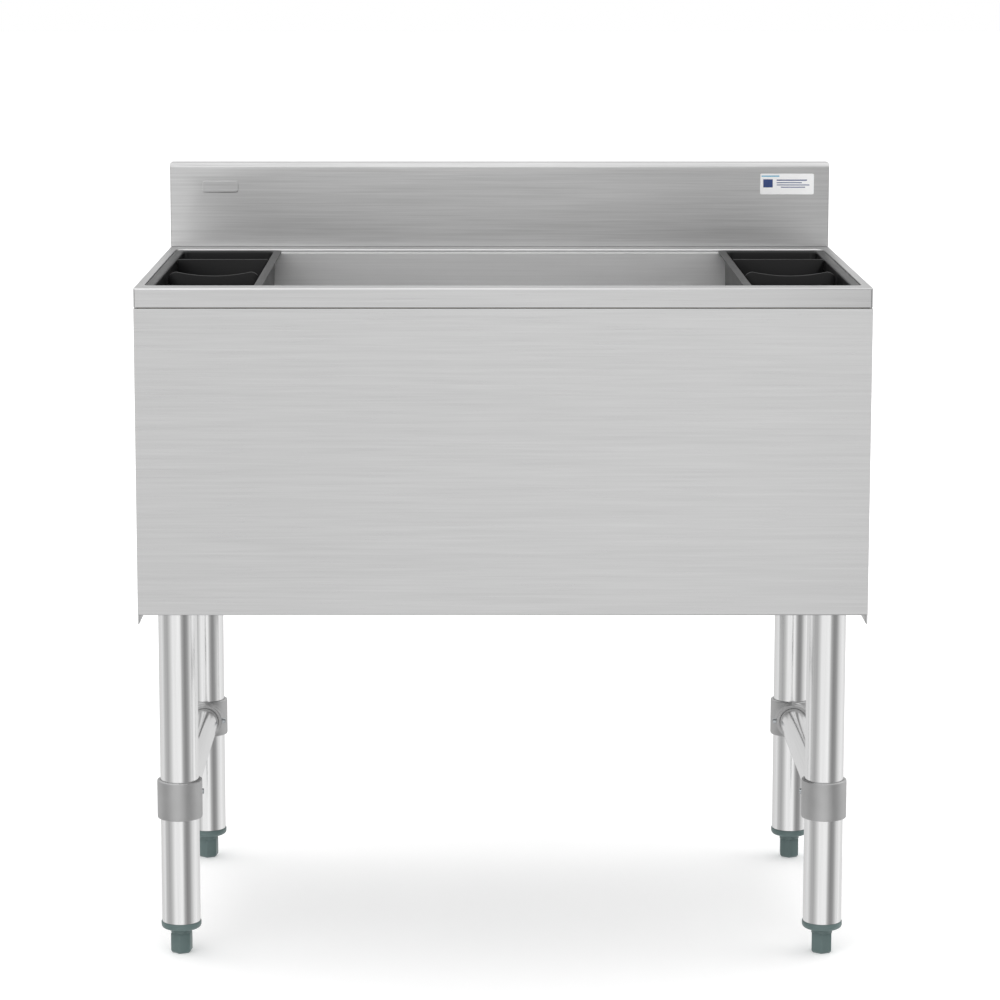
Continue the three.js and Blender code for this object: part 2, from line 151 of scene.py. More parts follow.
def rod(name, radius, x, y, z, sides=64):
    """A round bar along the axis whose entry is a (from, to) pair. The other two are its centre."""
    axis = next(i for i, entry in enumerate((x, y, z)) if isinstance(entry, tuple))
    length = abs((x, y, z)[axis][1] - (x, y, z)[axis][0])
    place = [middle(entry) if isinstance(entry, tuple) else entry for entry in (x, y, z)]
    turn = ((0, math.pi / 2, 0), (math.pi / 2, 0, 0), (0, 0, 0))[axis]
    bpy.ops.object.select_all(action="DESELECT")
    bpy.ops.mesh.primitive_cylinder_add(
        vertices=sides,
        radius=radius * MM,
        depth=length * MM,
        location=[v * MM for v in place],
        rotation=turn,
    )
    return added(name)


def edit(piece):
    only(piece)
    bpy.ops.object.mode_set(mode="EDIT")
    bpy.ops.mesh.select_all(action="DESELECT")


def leave():
    bpy.ops.object.mode_set(mode="OBJECT")


def pick(piece, kind, test):
    """In edit mode, selects what passes the test, which gets a vertex's place, an edge's two ends, or
    a face's middle and normal."""
    bpy.ops.mesh.select_mode(type=kind)
    bpy.ops.mesh.select_all(action="DESELECT")
    mesh = bmesh.from_edit_mesh(piece.data)
    mesh.normal_update()
    if kind == "VERT":
        chosen = [v for v in mesh.verts if test(v.co / MM)]
    elif kind == "EDGE":
        chosen = [e for e in mesh.edges if test(e.verts[0].co / MM, e.verts[1].co / MM)]
    else:
        chosen = [f for f in mesh.faces if test(f.calc_center_median() / MM, f.normal)]
    if not chosen:
        raise ValueError(f"nothing to pick on {piece.name}")
    for element in chosen:
        element.select_set(True)
    mesh.select_flush_mode()
    bmesh.update_edit_mesh(piece.data)


def move(x=0, y=0, z=0):
    bpy.ops.transform.translate(value=(x * MM, y * MM, z * MM))


def draw_out(x=0, y=0, z=0):
    """Extrudes what is selected by that much."""
    bpy.ops.mesh.extrude_region_move(TRANSFORM_OT_translate={"value": (x * MM, y * MM, z * MM)})


def resize(x, y, z, about):
    bpy.ops.transform.resize(value=(x, y, z), center_override=[v * MM for v in about])


def bend(piece, radius, segments, test):
    """Rounds the edges that pass the test, as a press brake or a mould does."""
    pick(piece, "EDGE", test)
    bpy.ops.mesh.bevel(offset=radius * MM, offset_type="OFFSET", segments=segments, affect="EDGES")


def apply(piece, kind, **settings):
    only(piece)
    modifier = piece.modifiers.new(kind.lower(), kind)
    for name, value in settings.items():
        setattr(modifier, name, value)
    bpy.ops.object.modifier_apply(modifier=modifier.name)


def thicken(piece, thickness):
    """Gives a folded skin its sheet thickness, behind the face that shows."""
    apply(piece, "SOLIDIFY", thickness=thickness * MM, offset=-1, use_even_offset=True)


def soften(piece, width, segments=2, angle=30):
    """Takes the sharpness off every edge that turns more than the angle."""
    apply(
        piece,
        "BEVEL",
        width=width * MM,
        segments=segments,
        limit_method="ANGLE",
        angle_limit=math.radians(angle),
    )


def combine(piece, tool, how):
    apply(piece, "BOOLEAN", object=tool, operation=how, solver="EXACT")
    bpy.data.objects.remove(tool)


def weld(piece, other):
    combine(piece, other, "UNION")


def cut(piece, tool):
    combine(piece, tool, "DIFFERENCE")


def face_outwards(piece):
    edit(piece)
    bpy.ops.mesh.select_all(action="SELECT")
    bpy.ops.mesh.remove_doubles(threshold=0.001 * MM)
    bpy.ops.mesh.normals_make_consistent(inside=False)
    leave()


def tube(name, radius, wall, x, y, z):
    """A rod whose ends are inset and bridged to make its bore."""
    piece = rod(name, radius, x, y, z, 72)
    edit(piece)
    axis = next(i for i, entry in enumerate((x, y, z)) if isinstance(entry, tuple))
    pick(piece, "FACE", lambda c, n: abs(n[axis]) > 0.9)
    bpy.ops.mesh.inset(thickness=wall * MM)
    bpy.ops.mesh.bridge_edge_loops()
    leave()
    face_outwards(piece)
    return piece


def turned(name, x, y, profile, sides=64, turn=0):
    """A piece turned on an upright lathe: a circle drawn from one (radius, height) to the next. A
    profile that doesn't come back to its start is closed with flat ends."""
    radius, z = profile[0]
    bpy.ops.object.select_all(action="DESELECT")
    bpy.ops.mesh.primitive_circle_add(
        vertices=sides,
        radius=radius * MM,
        fill_type="NOTHING",
        location=(x * MM, y * MM, z * MM),
        rotation=(0, 0, math.radians(turn)),
    )
    piece = added(name)
    edit(piece)
    bpy.ops.mesh.select_mode(type="EDGE")
    bpy.ops.mesh.select_all(action="SELECT")
    for next_radius, next_z in profile[1:]:
        draw_out(z=next_z - z)
        resize(next_radius / radius, next_radius / radius, 1, (x, y, next_z))
        radius, z = next_radius, next_z
    bpy.ops.mesh.select_all(action="SELECT")
    bpy.ops.mesh.remove_doubles(threshold=0.002 * MM)
    bpy.ops.mesh.select_all(action="SELECT")
    bpy.ops.mesh.fill_holes(sides=0)
    leave()
    face_outwards(piece)
    return piece


def mirrored(piece, name, x, y, mirror):
    """A copy with its own mesh, mirrored about the origin where mirror holds -1, then moved."""
    only(piece)
    bpy.ops.object.duplicate()
    bpy.context.object.location = (x * MM, y * MM, 0)
    face_outwards(added(name, mirror))


def hand_over(piece, body, slot, material, *nodes, angle=35):
    """Gives a finished piece its shading, finish and body, and has it stand for its CAD nodes."""
    only(piece)
    bpy.ops.object.shade_smooth_by_angle(angle=math.radians(angle))
    piece.data.materials.clear()
    piece.data.materials.append(material)
    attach(piece, body)
    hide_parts(*nodes)


# ---------------------------------------------------------------- materials


def linear(code):
    """An sRGB hex colour as the linear RGBA that Blender's nodes take."""
    channels = [int(code[i : i + 2], 16) / 255 for i in (1, 3, 5)]
    return [c / 12.92 if c <= 0.04045 else ((c + 0.055) / 1.055) ** 2.4 for c in channels] + [1]


def add(tree, kind, sockets=None, **settings):
    """Adds a node with its settings. A socket gets a number, a colour, or an output to be linked to."""
    node = tree.nodes.new(kind)
    for name, value in settings.items():
        setattr(node, name, value)
    for name, value in (sockets or {}).items():
        if isinstance(value, bpy.types.NodeSocket):
            tree.links.new(value, node.inputs[name])
        else:
            node.inputs[name].default_value = value
    return node


def surface(name, **sockets):
    """A new material, its node tree and its Principled shader, with its even values set on its sockets."""
    material = bpy.data.materials.new(name)
    material.use_nodes = True
    shader = material.node_tree.nodes["Principled BSDF"]
    for socket, value in sockets.items():
        shader.inputs[socket.replace("_", " ")].default_value = value
    return material, material.node_tree, shader


def dress(tree, shader, tones, tone, gloss, roughness, height, relief, depth):
    """Has one pattern run the colour between two tones, one run the roughness between two values, and
    one stand in relief, depth millimetres high."""
    ramp = add(tree, "ShaderNodeValToRGB", {"Fac": tone})
    for stop, place, code in zip(ramp.color_ramp.elements, (0.25, 0.75), tones):
        stop.position = place
        stop.color = linear(code)
    low, high = roughness
    rough = add(tree, "ShaderNodeMapRange", {"Value": gloss, "To Min": low, "To Max": high})
    bump = add(
        tree,
        "ShaderNodeBump",
        {"Strength": relief, "Distance": depth * MM, "Height": height},
    )
    tree.links.new(ramp.outputs["Color"], shader.inputs["Base Color"])
    tree.links.new(rough.outputs["Result"], shader.inputs["Roughness"])
    tree.links.new(bump.outputs["Normal"], shader.inputs["Normal"])


def stretched(tree, scale=(1, 1, 1)):
    """Object coordinates in metres, times a scale along each axis."""
    place = add(tree, "ShaderNodeTexCoord").outputs["Object"]
    return add(tree, "ShaderNodeMapping", {"Vector": place, "Scale": scale}).outputs["Vector"]


# Brush lines for each metre: real ones are 0.1 mm apart, drawn at 1.5 mm so that they show
LINE = 1 / 0.0015
STROKE = 1 / 0.08  # a brush line is about 80 mm long


def brushed_steel(name, low, high, roughness, relief, spread, metallic=1.0):
    """Stainless sheet, belt-brushed: fine lines, level on walls and left to right on level faces. spread
    is how much more they spread its gloss across them than along them."""
    material, tree, shader = surface(
        name,
        Metallic=metallic,
        Anisotropic=spread,
        Anisotropic_Rotation=0.25,
    )
    place = add(tree, "ShaderNodeTexCoord")
    normal = add(tree, "ShaderNodeSeparateXYZ", {"Vector": place.outputs["Normal"]})
    upward = add(tree, "ShaderNodeMath", {0: normal.outputs["Z"]}, operation="ABSOLUTE")
    level = add(tree, "ShaderNodeMath", {0: upward.outputs[0], 1: 0.7}, operation="GREATER_THAN")
    scale = add(
        tree,
        "ShaderNodeMix",
        {0: level.outputs[0], 4: (STROKE, STROKE, LINE), 5: (STROKE, LINE, STROKE)},
        data_type="VECTOR",
    )
    lines = add(
        tree,
        "ShaderNodeVectorMath",
        {0: place.outputs["Object"], 1: scale.outputs[1]},
        operation="MULTIPLY",
    )
    lines = lines.outputs[0]
    fine = add(tree, "ShaderNodeTexNoise", {"Vector": lines, "Scale": 1.0, "Detail": 4.0}).outputs[0]
    bands = add(tree, "ShaderNodeTexNoise", {"Vector": lines, "Scale": 0.45, "Detail": 2.0}).outputs[0]
    both = add(tree, "ShaderNodeMath", {0: fine, 1: bands}, operation="ADD")
    halved = add(tree, "ShaderNodeMath", {0: both.outputs[0], 1: 0.5}, operation="MULTIPLY")
    gloss = (roughness - 0.05, roughness + 0.05)
    dress(tree, shader, (low, high), halved.outputs[0], fine, gloss, fine, relief, 0.1)
    return material


def drawn_tube(name, low, high, roughness, scale):
    """Polished stainless tube: nearly a mirror, with faint lines along it from drawing and buffing."""
    material, tree, shader = surface(name, Metallic=1.0)
    along = stretched(tree, scale)
    lines = add(tree, "ShaderNodeTexNoise", {"Vector": along, "Scale": 1.0, "Detail": 3.0}).outputs[0]
    even = stretched(tree)
    haze = add(tree, "ShaderNodeTexNoise", {"Vector": even, "Scale": 30.0, "Detail": 2.0}).outputs[0]
    gloss = (roughness - 0.03, roughness + 0.04)
    dress(tree, shader, (low, high), lines, haze, gloss, lines, 0.05, 0.05)
    return material


def grained(name, low, high, roughness, grain, relief, metallic=0.0, **sockets):
    """A surface whose look comes from fine even grain, such as a cast, moulded, plated or foamed one.
    grain is its size in millimetres."""
    material, tree, shader = surface(name, Metallic=metallic, **sockets)
    even = stretched(tree)
    grains = {"Vector": even, "Scale": 1 / (grain * MM), "Detail": 3.0}
    fine = add(tree, "ShaderNodeTexNoise", grains).outputs[0]
    patches = add(tree, "ShaderNodeTexNoise", {"Vector": even, "Scale": 25.0, "Detail": 3.0}).outputs[0]
    gloss = (roughness - 0.05, roughness + 0.05)
    dress(tree, shader, (low, high), patches, patches, gloss, fine, relief, 0.2)
    return material


# No. 4 brushed 304 stainless: light grey, with a soft gloss that fine level lines break up
STEEL = brushed_steel("brushed_304_stainless", "#bfbfbf", "#cdcdcd", 0.29, 0.07, 0.8)
# The backsplash sheet, brushed with a coarser belt: darker, with stronger lines
SPLASH_STEEL = brushed_steel(
    "coarse_brushed_304_stainless", "#b6b6b6", "#d0d0d0", 0.33, 0.10, 0.5, metallic=0.75
)
# The sheet pressed and buffed inside the ice well: softer, with fainter lines, and painted paler than the
# outer sheet as painted light, standing in for the light thrown up into the well
LINER_STEEL_PAINTED_PALER = brushed_steel(
    "buffed_liner_stainless_painted_paler", "#d9d9d9", "#e3e3e3", 0.38, 0.06, 0.2, metallic=0.75
)
# Mill-finish stainless of the parts out of sight: duller, with faint rolling lines
MILL_STEEL = brushed_steel("mill_finish_stainless", "#aaaaaa", "#b7b7b7", 0.44, 0.05, 0.3)
# Polished leg tube, and the stretcher, whose lines run front to back
LEG_STEEL = drawn_tube("polished_leg_tube", "#e3e3e3", "#ebebeb", 0.15, (700, 700, 8))
STRETCHER_STEEL = drawn_tube("polished_stretcher_tube", "#e3e3e3", "#ebebeb", 0.15, (700, 8, 700))
# Polished and turned drain fittings
DRAIN_STEEL = drawn_tube("turned_drain_stainless", "#d4d5d6", "#dfe0e0", 0.20, (90, 90, 900))
# Sand-cast aluminium, tumbled: dull grey with fine pitted grain
CAST = grained("cast_aluminium", "#b3b3b3", "#c3c3c3", 0.50, 0.9, 0.30, metallic=1.0)
# Zinc-plated screws
ZINC = grained("zinc_plated_steel", "#a9adb0", "#bcc0c2", 0.30, 1.5, 0.08, metallic=1.0)
# Black ABS with the fine spark-eroded grain of its mould
BLACK_ABS = grained(
    "moulded_black_abs", "#0b0b0c", "#111112", 0.35, 1.1, 0.10, Specular_IOR_Level=0.32
)
# Grey-green glass-filled nylon of the feet
NYLON = grained("moulded_grey_nylon", "#566867", "#637574", 0.38, 1.2, 0.15)
# Rubber gasket under the drain
RUBBER = grained("black_rubber", "#1c1c1c", "#262626", 0.75, 1.4, 0.25)
# Rigid polyurethane foam: pale, with fine closed cells
FOAM = grained("rigid_polyurethane_foam", "#ddd2a6", "#e8dfba", 0.85, 2.0, 0.60)
# Satin white vinyl, and the two blue inks printed on it
VINYL = grained("white_vinyl", "#f9fafb", "#ffffff", 0.32, 2.0, 0.02)
INK = grained("navy_printing_ink", "#283f78", "#304a86", 0.40, 2.0, 0.02)
PALE_INK = grained("pale_blue_printing_ink", "#5fb0d2", "#6fbcdb", 0.40, 2.0, 0.02)


# ---------------------------------------------------------------- cabinet


def fold_rim():
    """Rim, deck and skirt, folded from one sheet, with the lip turned down round the opening."""
    rim = block("folded_rim", *span("top_rim"))
    edit(rim)
    pick(rim, "FACE", lambda c, n: n.z < -0.5)
    bpy.ops.mesh.delete(type="FACE")
    pick(rim, "FACE", lambda c, n: n.z > 0.5)
    bpy.ops.mesh.inset(thickness=SIDE_RIM * MM)
    pick(rim, "VERT", lambda p: near(p.y, FRONT + SIDE_RIM))
    move(y=FRONT_RIM - SIDE_RIM)
    pick(rim, "VERT", lambda p: near(p.y, REAR - SIDE_RIM))
    move(y=OPENING_REAR - (REAR - SIDE_RIM))
    opening_y = (OPENING_FRONT, OPENING_REAR)
    pick(rim, "FACE", lambda c, n: n.z > 0.5 and over(c, 0, middle(opening_y)))
    draw_out(z=-LIP)

    def in_corner(a, b):
        return near(abs(a.x), OPENING_X) and upright(a, b) and not near(a.z, b.z)

    bend(rim, OPENING_RADIUS, 6, in_corner)
    pick(rim, "FACE", lambda c, n: n.z > 0.5 and near(c.z, RIM_TOP - LIP))
    bpy.ops.mesh.delete(type="FACE")

    def on_outline(p):
        return near(abs(p.x), RIGHT) or near(p.y, FRONT) or near(p.y, REAR)

    def outer_edge(a, b):
        return on_outline(a) and on_outline(b) and (edge_at(a, b, z=RIM_TOP) or upright(a, b))

    bend(rim, FOLD, 4, outer_edge)

    def mouth_edge(a, b):
        round_opening = [within(p, (-OPENING_X, OPENING_X), opening_y) for p in (a, b)]
        return edge_at(a, b, z=RIM_TOP) and all(round_opening)

    bend(rim, 1.5, 3, mouth_edge)
    leave()
    thicken(rim, SHEET)
    hand_over(rim, "cabinet", "brushed_steel", STEEL, "top_rim")


def fold_backsplash():
    """The raised back: a box section with a chamfered front top edge, and a plain plaque at its left."""
    x, y, z = span("backsplash")
    chamfer = 4.5
    splash = block("folded_backsplash", x, y, z)
    edit(splash)
    pick(splash, "EDGE", lambda a, b: edge_at(a, b, y=y[0], z=z[1]))
    bpy.ops.mesh.bevel(offset=chamfer * MM, offset_type="OFFSET", segments=1, affect="EDGES")
    pick(splash, "FACE", lambda c, n: n.z < -0.5)
    bpy.ops.mesh.delete(type="FACE")
    bend(splash, 1.4, 3, lambda a, b: not edge_at(a, b, z=z[0]))
    leave()
    thicken(splash, SHEET)
    root, face = SPLASH_FACE - 0.5, SPLASH_FACE + 0.7
    plaque = block("plaque", (-344, -302), (root, face), (789.5, 803.5))
    edit(plaque)
    bend(plaque, 3.5, 6, lambda a, b: not near(a.y, b.y))
    pick(plaque, "FACE", lambda c, n: n.y < -0.5)
    bpy.ops.mesh.bevel(offset=0.4 * MM, segments=2, affect="EDGES")
    # Its middle is sunk inside a narrow border
    pick(plaque, "FACE", lambda c, n: n.y < -0.99)
    bpy.ops.mesh.inset(thickness=1.2 * MM)
    draw_out(y=0.3)
    leave()
    weld(splash, plaque)
    hand_over(splash, "cabinet", "brushed_steel", SPLASH_STEEL, "backsplash")


def fold_front():
    """Front panel: a flat sheet, with a hem under it and returns behind its ends."""
    x, y, z = span("front_panel")
    z = (z[0], z[1] - SEAM)
    inside = x[1] - SHEET - 0.3
    panel = block("front_sheet", x, (y[0], y[0] + SHEET), z)
    behind = (y[0] + SHEET / 2, y[1])
    weld(panel, block("hem", (-inside, inside), behind, (z[0], z[0] + SHEET)))
    for side in (-1, 1):
        ends = ordered(side * inside, side * (inside - SHEET))
        weld(panel, block("return", ends, behind, (z[0] + SHEET / 2, z[1] - 0.01)))
    edit(panel)
    bend(panel, 1.0, 3, lambda a, b: edge_at(a, b, y=y[0], z=z[0]))
    leave()

    def at_end_of_face(a, b):
        return edge_at(a, b, y=y[0]) and near(a.x, b.x) and abs(a.z - b.z) > 100

    edit(panel)
    bend(panel, 0.5, 3, lambda a, b: edge_at(a, b, y=y[0], z=z[1]))
    bend(panel, 0.35, 2, at_end_of_face)
    leave()
    hand_over(panel, "cabinet", "brushed_steel", STEEL, "front_panel")


def fold_side(hand, side):
    """Side panel, folded round the rear corner over the back panel."""
    x, y, z = span(f"side_panel_{hand}")
    z = (z[0], z[1] - SEAM)
    panel = block(f"side_sheet_{hand}", x, y, z)
    edit(panel)
    pick(panel, "FACE", lambda c, n: n.x * side < 0.5 and n.y < 0.5)
    bpy.ops.mesh.delete(type="FACE")
    outer = x[0] if side < 0 else x[1]
    bend(panel, FOLD, 4, lambda a, b: edge_at(a, b, x=outer, y=REAR))
    leave()
    thicken(panel, SHEET)
    soften(panel, 0.25, angle=60)
    hand_over(panel, "cabinet", "brushed_steel", STEEL, f"side_panel_{hand}")


def press_liner():
    """The ice well: a deep pan with coved corners and floor, hung by its flange, holed for the drain."""
    x, y, z = span("ice_liner")
    wall_x, wall_y = x[1] - FLANGE, (y[0] + FLANGE, y[1] - FLANGE)
    floor = z[0] + SHEET
    pan = sheet("ice_pan", x, y, z[1])
    edit(pan)
    bpy.ops.mesh.select_all(action="SELECT")
    bpy.ops.mesh.inset(thickness=FLANGE * MM)
    pick(pan, "FACE", lambda c, n: over(c, 0, middle(wall_y)))
    draw_out(z=floor - z[1])

    def in_corner(a, b):
        on_walls = [near(abs(p.x), wall_x) and at_end(p.y, wall_y) for p in (a, b)]
        return all(on_walls) and not near(a.z, b.z)

    def mouth_edge(a, b):
        return edge_at(a, b, z=z[1]) and all(within(p, (-wall_x, wall_x), wall_y) for p in (a, b))

    bend(pan, 18, 8, in_corner)
    bend(pan, 12, 6, lambda a, b: edge_at(a, b, z=floor))
    bend(pan, 1.5, 3, mouth_edge)
    leave()
    thicken(pan, SHEET)
    # A bottle well rests on a shelf at each of its ends, which runs outwards to the pan's side wall
    reach, buried = 8, 0.5
    for hand, side in HANDS.items():
        well = span(f"bottle_well_{hand}")[0]
        gaps = (1, 5) if side > 0 else (5, 1)
        ledge = (well[0] + gaps[0], well[1] - gaps[1])
        for wall, inward in zip(wall_y, (1, -1)):
            shelf = ordered(wall - inward * buried, wall + inward * reach)
            weld(pan, block("shelf", ledge, shelf, (z[1] - 1.7, z[1] - 0.3)))
    drain_hole = 24.4
    cut(pan, rod("hole", drain_hole, 0, middle(wall_y), (floor - 5, floor + 5)))
    # The liner's pale colour is painted light, standing in for the light thrown up into the well
    hand_over(pan, "cabinet", "liner_steel", LINER_STEEL_PAINTED_PALER, "ice_liner")


fold_rim()
fold_backsplash()
fold_front()
for hand, side in HANDS.items():
    fold_side(hand, side)
press_liner()


# ---------------------------------------------------------------- legs


def t_clamp():
    """The cast T-clamp of the front right leg: a ring round the leg, with a boss behind it for the
    stretcher. Its joint is filleted by a fine remesh before the bores are drilled."""
    x, y, z = span("clamp_front_right")
    ring = (x[1] - x[0]) / 2
    leg_x, leg_y = middle(x), y[0] + ring
    axis = middle(z)
    boss, stretcher_bore, screw_bore, screw_back = 20, 16.15, 3.4, 27.5
    clamp = rod("t_clamp_front_right", ring, leg_x, leg_y, z, 96)
    weld(clamp, rod("boss", boss, leg_x, (leg_y, y[1]), axis, 96))
    apply(clamp, "REMESH", mode="VOXEL", voxel_size=0.75 * MM)
    apply(clamp, "SMOOTH", factor=0.5, iterations=10)
    cut(clamp, rod("bore", LEG_BORE, leg_x, leg_y, (z[0] - 5, z[1] + 5), 96))
    cut(clamp, rod("cross_bore", stretcher_bore, leg_x, (leg_y + 18, y[1] + 5), axis, 72))
    for side in (1, -1):
        through = ordered(leg_x + side * 14, leg_x + side * 30)
        cut(clamp, rod("screw_hole", screw_bore, through, leg_y + screw_back, axis, 24))
    return clamp


def set_screw(name, x, y, z, leg_x):
    """A socket set screw with chamfered ends, and a hexagonal recess in the end away from the leg."""
    outer = max(x, key=lambda end: abs(end - leg_x))
    away = math.copysign(1, outer - leg_x)
    hexagon, depth = 1.75, 2.2
    screw = rod(name, (z[1] - z[0]) / 2, x, middle(y), middle(z), 24)
    soften(screw, 0.4)
    recess = ordered(outer - away * depth, outer + away)
    cut(screw, rod("recess", hexagon, recess, middle(y), middle(z), 6))
    return screw


def build_clamp_screws(corner, leg_x):
    """The outer set screw of a clamp, and an inner one that stands a little proud."""
    x, y, z = span(f"clamp_screw_{corner}")
    screw = set_screw(f"clamp_set_screw_{corner}", x, y, z, leg_x)
    hand_over(screw, "cabinet", "zinc", ZINC, f"clamp_screw_{corner}")
    near_end, far_end = sorted(abs(end - leg_x) for end in x)
    inward = -1 if leg_x > 0 else 1
    inner_x = ordered(leg_x + inward * near_end, leg_x + inward * (far_end + PROUD))
    screw = set_screw(f"inner_set_screw_{corner}", inner_x, y, z, leg_x)
    hand_over(screw, "cabinet", "zinc", ZINC)


def build_legs():
    clamp = t_clamp()
    home_x, home_y = [middle(pair) for pair in span("leg_front_right")[:2]]
    for corner in CORNERS:
        x, y, z = span(f"leg_{corner}")
        leg_x, leg_y = middle(x), middle(y)
        leg = tube(f"leg_tube_{corner}", (x[1] - x[0]) / 2, SHEET, leg_x, leg_y, z)
        hand_over(leg, "cabinet", "polished_steel", LEG_STEEL, f"leg_{corner}")
        if corner != "front_right":
            across = -1 if "left" in corner else 1
            back = -1 if "rear" in corner else 1
            shift = (leg_x - across * home_x, leg_y - back * home_y)
            mirrored(clamp, f"t_clamp_{corner}", *shift, (across, back, 1))
        build_clamp_screws(corner, leg_x)
        build_foot(corner, leg_x, leg_y)
        build_socket(corner, leg_x, leg_y)
    for corner in CORNERS:
        clamp = bpy.data.objects[f"t_clamp_{corner}"]
        hand_over(clamp, "cabinet", "cast_aluminium", CAST, f"clamp_{corner}", angle=50)


def build_foot(corner, x, y):
    """Plastic ferrule pressed into the tube, and the foot that screws into it."""
    low, high = span(f"ferrule_{corner}")[2]
    rim = span(f"leg_{corner}")[2][0] - 0.25
    bore, plug, lip = 6.3, 19.15, 21.55
    ferrule = turned(
        f"ferrule_cap_{corner}",
        x,
        y,
        [
            (bore, low),
            (17.2, low),
            (18.9, low + 0.3),
            (20.2, low + 1.1),
            (21.0, low + 2.1),
            (21.45, low + 3.4),
            (lip, low + 4.8),
            (lip, rim - 0.5),
            (21.2, rim),
            (plug, rim),
            (plug, high - 1),
            (18.2, high),
            (bore, high),
            (bore, low),
        ],
        72,
    )
    hand_over(ferrule, "cabinet", "grey_plastic", NYLON, f"ferrule_{corner}")

    top = span(f"foot_{corner}")[2][1]
    flats = 21.2
    hexagon = flats / math.sqrt(3)
    foot = turned(
        f"hex_foot_{corner}",
        x,
        y,
        [(hexagon - 2.0, 0), (hexagon, 2.4), (hexagon, 21.5), (hexagon - 1.0, 22.4)],
        6,
        FOOT_TURNS[corner],
    )
    soften(foot, 0.5)
    collar = [(9.0, 21.0), (11.35, 22.0), (11.35, 26.7), (10.9, 27.2), (8.0, 27.2)]
    weld(foot, turned("collar", x, y, collar, 48))
    core, root, crest = 4.6, 5.2, 5.95
    pitch, first = 1.75, 26.6
    threads = int((top - 27.0) / pitch)
    ridge = [(root, 0.0), (crest, 0.7), (crest, 1.0), (root, 1.65)]
    thread = [(core, 26.0)]
    for i in range(threads):
        thread += [(radius, first + pitch * i + rise) for radius, rise in ridge]
    weld(foot, turned("stem", x, y, thread + [(core, top)], 32))
    hand_over(foot, f"foot_{corner}", "grey_plastic", NYLON, f"foot_{corner}")


def build_socket(corner, x, y):
    """The cup under the cabinet that takes the leg, with its bolt on the inner side."""
    low, high = span(f"leg_socket_{corner}")[2]
    shoulder = span(f"leg_{corner}")[2][1] + 0.3
    wall, vent = 23.4, 4
    cup = turned(
        f"leg_cup_{corner}",
        x,
        y,
        [
            (LEG_BORE, low + 0.4),
            (LEG_BORE + 0.4, low),
            (wall - 0.4, low),
            (wall, low + 0.4),
            (wall, high),
            (vent, high),
            (vent, shoulder),
            (LEG_BORE, shoulder),
            (LEG_BORE, low + 0.4),
        ],
        64,
    )
    level = middle(span(f"socket_screw_{corner}")[2])
    inward = -1 if x > 0 else 1

    def across(name, radius, start, end, sides):
        """A round bar that runs inwards from start to end, measured from the leg's middle."""
        return rod(name, radius, ordered(x + inward * start, x + inward * end), y, level, sides)

    cut(cup, across("hole", 3.3, 15, 30, 24))
    hand_over(cup, "cabinet", "dull_steel", MILL_STEEL, f"leg_socket_{corner}")
    shank = across(f"socket_bolt_{corner}", 3, 21, 25, 24)
    head = across("head", 5.5, 24, 28, 6)
    soften(head, 0.4)
    weld(shank, head)
    hand_over(shank, "cabinet", "zinc", ZINC, f"socket_screw_{corner}")


build_legs()
for hand in HANDS:
    x, y, z = span(f"stretcher_{hand}")
    stretcher = tube(f"stretcher_tube_{hand}", (x[1] - x[0]) / 2, SHEET, middle(x), y, middle(z))
    hand_over(stretcher, "cabinet", "polished_steel", STRETCHER_STEEL, f"stretcher_{hand}")


# ---------------------------------------------------------------- bottle wells


def mould_tub(hand):
    """A bottle well: a flanged tub with drafted walls, rounded everywhere, and paired ribs that hold the
    dividers."""
    x, y, z = span(f"bottle_well_{hand}")
    centre = (middle(x), middle(y))
    side_flange, end_flange = 9.25, 11
    mouth, base = (103, 375), (97, 369)  # the well's width and length, at its top and at its floor
    floor = z[0] + 3
    tub = sheet(f"bottle_tub_{hand}", x, y, z[1])
    edit(tub)
    bpy.ops.mesh.select_all(action="SELECT")
    bpy.ops.mesh.inset(thickness=side_flange * MM)
    widened = end_flange - side_flange
    for end, shift in ((y[0] + side_flange, widened), (y[1] - side_flange, -widened)):
        pick(tub, "VERT", lambda p: near(p.y, end))
        move(y=shift)
    wall_x = (x[0] + side_flange, x[1] - side_flange)
    wall_y = (y[0] + end_flange, y[1] - end_flange)
    pick(tub, "FACE", lambda c, n: over(c, *centre, reach=5))
    draw_out(z=floor - z[1])
    resize(base[0] / mouth[0], base[1] / mouth[1], 1, (*centre, floor))

    def mouth_edge(a, b):
        return edge_at(a, b, z=z[1]) and all(within(p, wall_x, wall_y) for p in (a, b))

    def outer_corner(a, b):
        return not near(a.z, b.z) and a.z > z[1] - 3 and at_end(a.x, x) and at_end(a.y, y)

    bend(tub, 9, 6, lambda a, b: abs(a.z - b.z) > 100)
    bend(tub, 6, 4, lambda a, b: edge_at(a, b, z=floor))
    bend(tub, 2.6, 4, mouth_edge)
    leave()
    thicken(tub, 2)
    edit(tub)
    bend(tub, 12, 8, outer_corner)
    leave()
    soften(tub, 0.5, angle=50)
    rib_top = z[1] - 110
    rib_near, rib_far = 0.3, 2.3  # a rib's two faces, from the divider's
    rib_tip, rib_root = 45.6, 50.4  # from the middle of the tub
    for kind in ("straight", "saddle"):
        front, rear = span(f"{kind}_divider_{hand}")[1]
        for rib_y in ((front - rib_far, front - rib_near), (rear + rib_near, rear + rib_far)):
            for side in (-1, 1):
                rib_x = ordered(centre[0] + side * rib_tip, centre[0] + side * rib_root)
                rib = block("rib", rib_x, rib_y, (floor - 1, rib_top))
                soften(rib, 0.5)
                weld(tub, rib)
    hand_over(tub, f"bottle_well_{hand}", "black_plastic", BLACK_ABS, f"bottle_well_{hand}")


